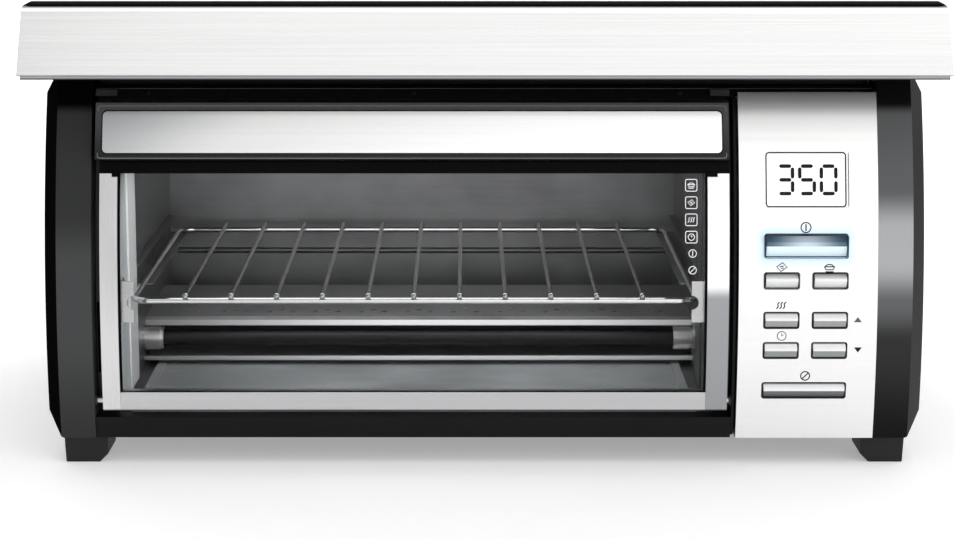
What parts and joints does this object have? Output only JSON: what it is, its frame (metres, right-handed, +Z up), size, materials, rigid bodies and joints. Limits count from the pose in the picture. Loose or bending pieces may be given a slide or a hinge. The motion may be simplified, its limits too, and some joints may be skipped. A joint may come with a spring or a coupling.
{
  "type": "toaster oven",
  "caption": "Under-cabinet toaster oven with a drop-down glass door, sliding rack, pull-out crumb tray, push buttons with a display, and a mounting hood.",
  "frame": {"origin": "middle of the footprint, on the surface that the feet stand on", "axes": "+Z up, +X to the right as seen from the front, the door faces -Y"},
  "size_m": [0.462, 0.3, 0.2364],
  "materials": {
    "brushed_face": "brushed along its length",
    "satin_strip": "satin",
    "black_gloss": "gloss",
    "black_casing": "fine textured powder coat",
    "mount_steel": "galvanised",
    "chamber_steel": "aluminised, dull",
    "chrome_wire": "polished",
    "door_glass": "clear, slightly tinted",
    "display_lens": "clear",
    "display_face": "lit from behind",
    "silver_button": "silver paint",
    "blue_button": "glossy, lit",
    "black_carrier": "matte",
    "circuit_board": "solder mask",
    "black_component": "moulded",
    "transformer_core": "laminated, varnished",
    "terminal_plastic": "moulded",
    "heater_tube": "dark oxidised sheath",
    "tube_cap": "bright cap",
    "rubber_foot": "moulded",
    "bush_plastic": "acetal",
    "zinc_screw": "zinc plated"
  },
  "bodies": {
    "oven": {"outer_wrap": "black_casing", "base_plate": "black_casing", "rear_cover": "black_casing", "cord_gland": "rubber_foot", "case_screws": "zinc_screw", "left_end_cap": "black_gloss", "right_end_cap": "black_gloss", "feet": "rubber_foot", "partition_plate": "black_casing", "top_beam": "black_casing", "bottom_bar": "black_casing", "front_frame": "chamber_steel", "latch_bumpers": "black_carrier", "beam_screws": "zinc_screw", "hinge_bushes": "bush_plastic", "cavity_liner": "chamber_steel", "cavity_back": "chamber_steel", "rack_guides": "chamber_steel", "lower_shield": "chamber_steel", "upper_reflector": "chamber_steel", "lower_heating_tubes": "heater_tube", "upper_heating_tubes": "heater_tube", "tube_end_caps": "tube_cap", "temperature_sensor": "tube_cap", "control_panel": "brushed_face", "button_carrier": "black_carrier", "display_window": "display_lens", "display_module": "display_face", "control_board": "circuit_board", "tact_switches": "black_component", "power_board": "circuit_board", "relay": "black_component", "transformer": "transformer_core", "terminal_block": "terminal_plastic", "hood_fascia": "brushed_face", "hood_trim": "black_casing", "hood_pan": "black_casing", "hood_skirts": "black_casing", "hood_mount_plate": "mount_steel"},
    "door": {"door_left_strip": "satin_strip", "door_right_strip": "satin_strip", "door_bottom_strip": "satin_strip", "door_top_rail": "black_gloss", "door_glass": "door_glass", "door_handle": "black_gloss", "handle_inlay": "brushed_face", "hinge_pins": "zinc_screw", "rack_hooks": "zinc_screw"},
    "rack": {"rack_frame": "chrome_wire", "rack_wires": "chrome_wire"},
    "tray": {"crumb_tray": "chamber_steel"},
    "power_key": {"power_button": "blue_button"},
    "toast_key": {"toast_button": "silver_button"},
    "bake_key": {"bake_button": "silver_button"},
    "warm_key": {"warm_button": "silver_button"},
    "up_key": {"up_button": "silver_button"},
    "timer_key": {"timer_button": "silver_button"},
    "down_key": {"down_button": "silver_button"},
    "stop_key": {"stop_button": "silver_button"}
  },
  "joints": [
    {"name": "door_hinge", "type": "hinge", "parent": "oven", "child": "door", "pos_m": [-0.0355, -0.1315, 0.033], "axis": [1, 0, 0], "range_deg": [0, 85]},
    {"name": "rack_slide", "type": "slide", "parent": "oven", "child": "rack", "axis": [0, -1, 0], "range_m": [0, 0.057]},
    {"name": "crumb_tray_slide", "type": "slide", "parent": "oven", "child": "tray", "axis": [0, -1, 0], "range_m": [0, 0.15]},
    {"name": "power_press", "type": "slide", "parent": "oven", "child": "power_key", "axis": [0, 1, 0], "range_m": [0, 0.0009], "stiffness_N_per_m": 600},
    {"name": "toast_press", "type": "slide", "parent": "oven", "child": "toast_key", "axis": [0, 1, 0], "range_m": [0, 0.0009], "stiffness_N_per_m": 600},
    {"name": "bake_press", "type": "slide", "parent": "oven", "child": "bake_key", "axis": [0, 1, 0], "range_m": [0, 0.0009], "stiffness_N_per_m": 600},
    {"name": "warm_press", "type": "slide", "parent": "oven", "child": "warm_key", "axis": [0, 1, 0], "range_m": [0, 0.0009], "stiffness_N_per_m": 600},
    {"name": "up_press", "type": "slide", "parent": "oven", "child": "up_key", "axis": [0, 1, 0], "range_m": [0, 0.0009], "stiffness_N_per_m": 600},
    {"name": "timer_press", "type": "slide", "parent": "oven", "child": "timer_key", "axis": [0, 1, 0], "range_m": [0, 0.0009], "stiffness_N_per_m": 600},
    {"name": "down_press", "type": "slide", "parent": "oven", "child": "down_key", "axis": [0, 1, 0], "range_m": [0, 0.0009], "stiffness_N_per_m": 600},
    {"name": "stop_press", "type": "slide", "parent": "oven", "child": "stop_key", "axis": [0, 1, 0], "range_m": [0, 0.0009], "stiffness_N_per_m": 600}
  ],
  "couplings": [
    {"joint": "rack_slide", "follows": "door_hinge", "m_per_rad": 0.038}
  ]
}
